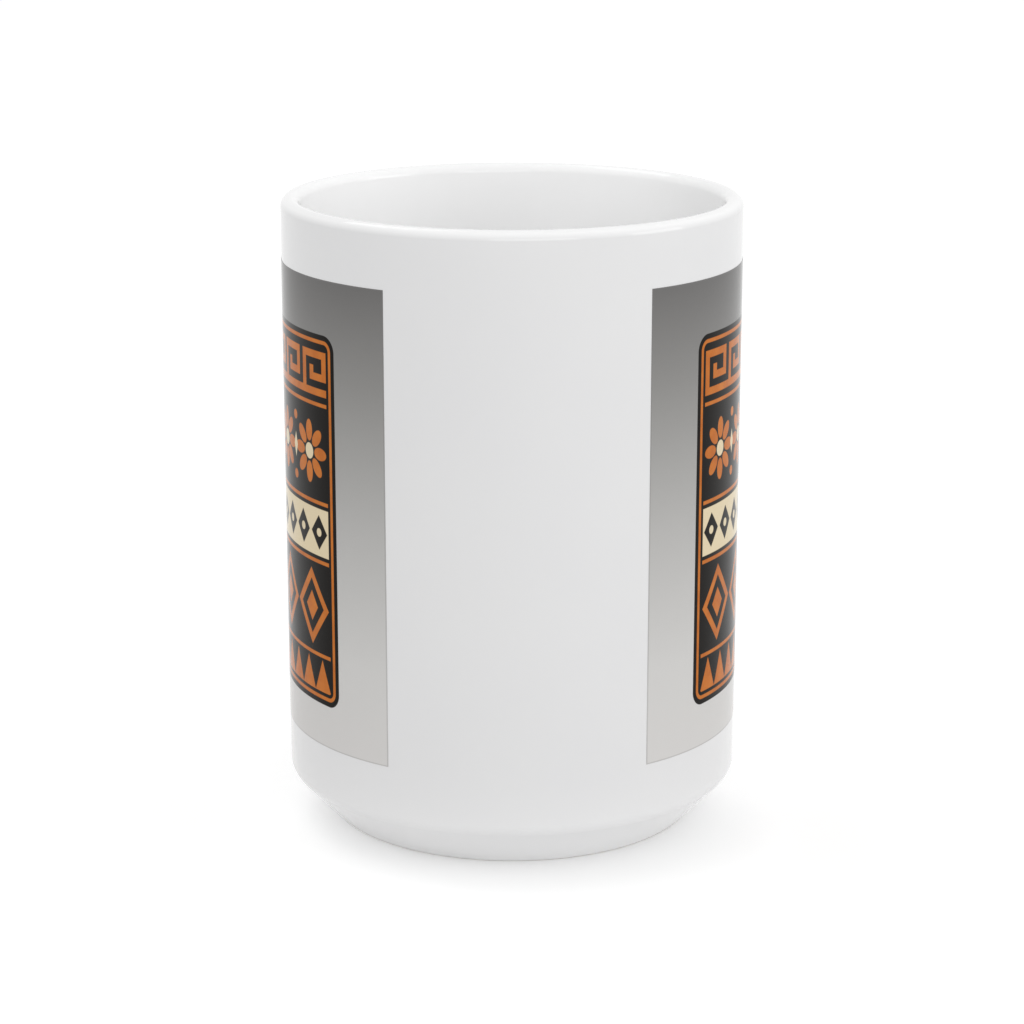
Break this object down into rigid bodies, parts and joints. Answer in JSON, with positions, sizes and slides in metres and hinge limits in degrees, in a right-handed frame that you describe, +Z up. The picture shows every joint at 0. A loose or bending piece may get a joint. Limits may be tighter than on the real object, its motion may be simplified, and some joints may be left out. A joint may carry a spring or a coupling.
{
  "type": "mug",
  "caption": "Tall straight-sided glazed ceramic mug with a rounded lip, a chamfered base, a loop handle and printed panels on its sides.",
  "frame": {"origin": "centre of the bounding box, handle included, on the plane that the foot stands on", "axes": "+Z up along the cup's axis, +Y from the cup towards the handle, -Y the plain front of the cup"},
  "size_m": [0.087, 0.12, 0.1187],
  "materials": {
    "white_glaze": "clear gloss glaze on a white body",
    "printed_film": "gloss print on the glaze"
  },
  "bodies": {
    "root": {"cup": "white_glaze", "handle": "white_glaze", "upper_slip_joint": "white_glaze", "lower_slip_joint": "white_glaze", "left_print": "printed_film", "right_print": "printed_film"}
  },
  "joints": []
}
